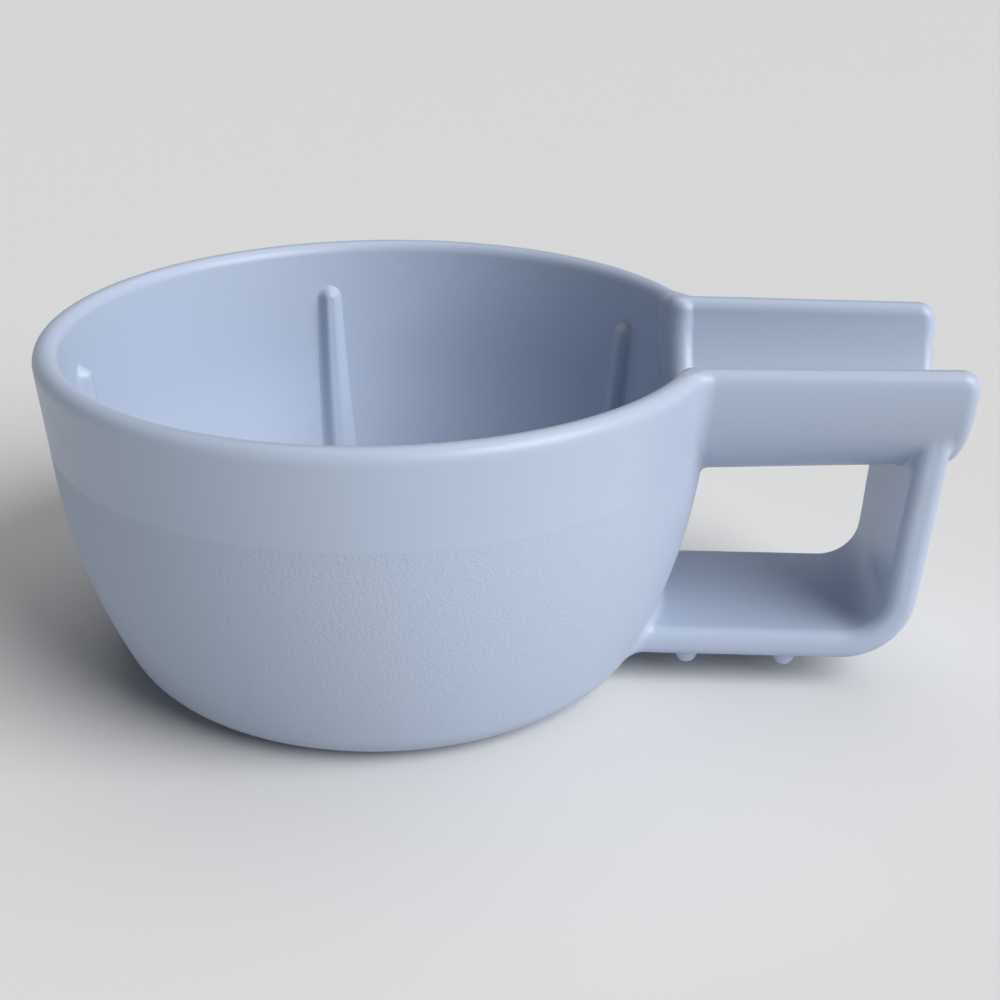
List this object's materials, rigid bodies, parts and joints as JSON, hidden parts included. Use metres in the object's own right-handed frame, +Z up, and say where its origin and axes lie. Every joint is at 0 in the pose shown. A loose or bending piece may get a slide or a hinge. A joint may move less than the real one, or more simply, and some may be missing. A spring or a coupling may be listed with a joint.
{
  "type": "shaving mug",
  "caption": "Round moulded lather bowl with inner ribs, a half-pipe trough handle that holds the brush, and a finger loop below it.",
  "frame": {"origin": "centre of the bowl's flat base, on the table", "axes": "+Z up along the bowl's axis, +X along the trough handle away from the bowl, +Y to the left of the handle"},
  "size_m": [0.1564, 0.116, 0.06],
  "materials": {
    "smooth_plastic": "satin moulded plastic, light grey-blue, polished mould face",
    "grained_plastic": "matt moulded plastic, light grey-blue, fine spark-eroded grain"
  },
  "bodies": {
    "root": {"bowl_base": "grained_plastic", "bowl_wall": "grained_plastic", "rim_band": "smooth_plastic", "trough_floor": "smooth_plastic", "left_trough_rail": "smooth_plastic", "right_trough_rail": "smooth_plastic", "loop_strap": "smooth_plastic", "loop_bend": "smooth_plastic", "loop_post": "smooth_plastic", "lather_rib_1": "smooth_plastic", "lather_rib_2": "smooth_plastic", "lather_rib_3": "smooth_plastic", "lather_rib_4": "smooth_plastic", "lather_rib_5": "smooth_plastic", "left_inner_pip": "smooth_plastic", "left_outer_pip": "smooth_plastic", "right_inner_pip": "smooth_plastic", "right_outer_pip": "smooth_plastic"}
  },
  "joints": []
}
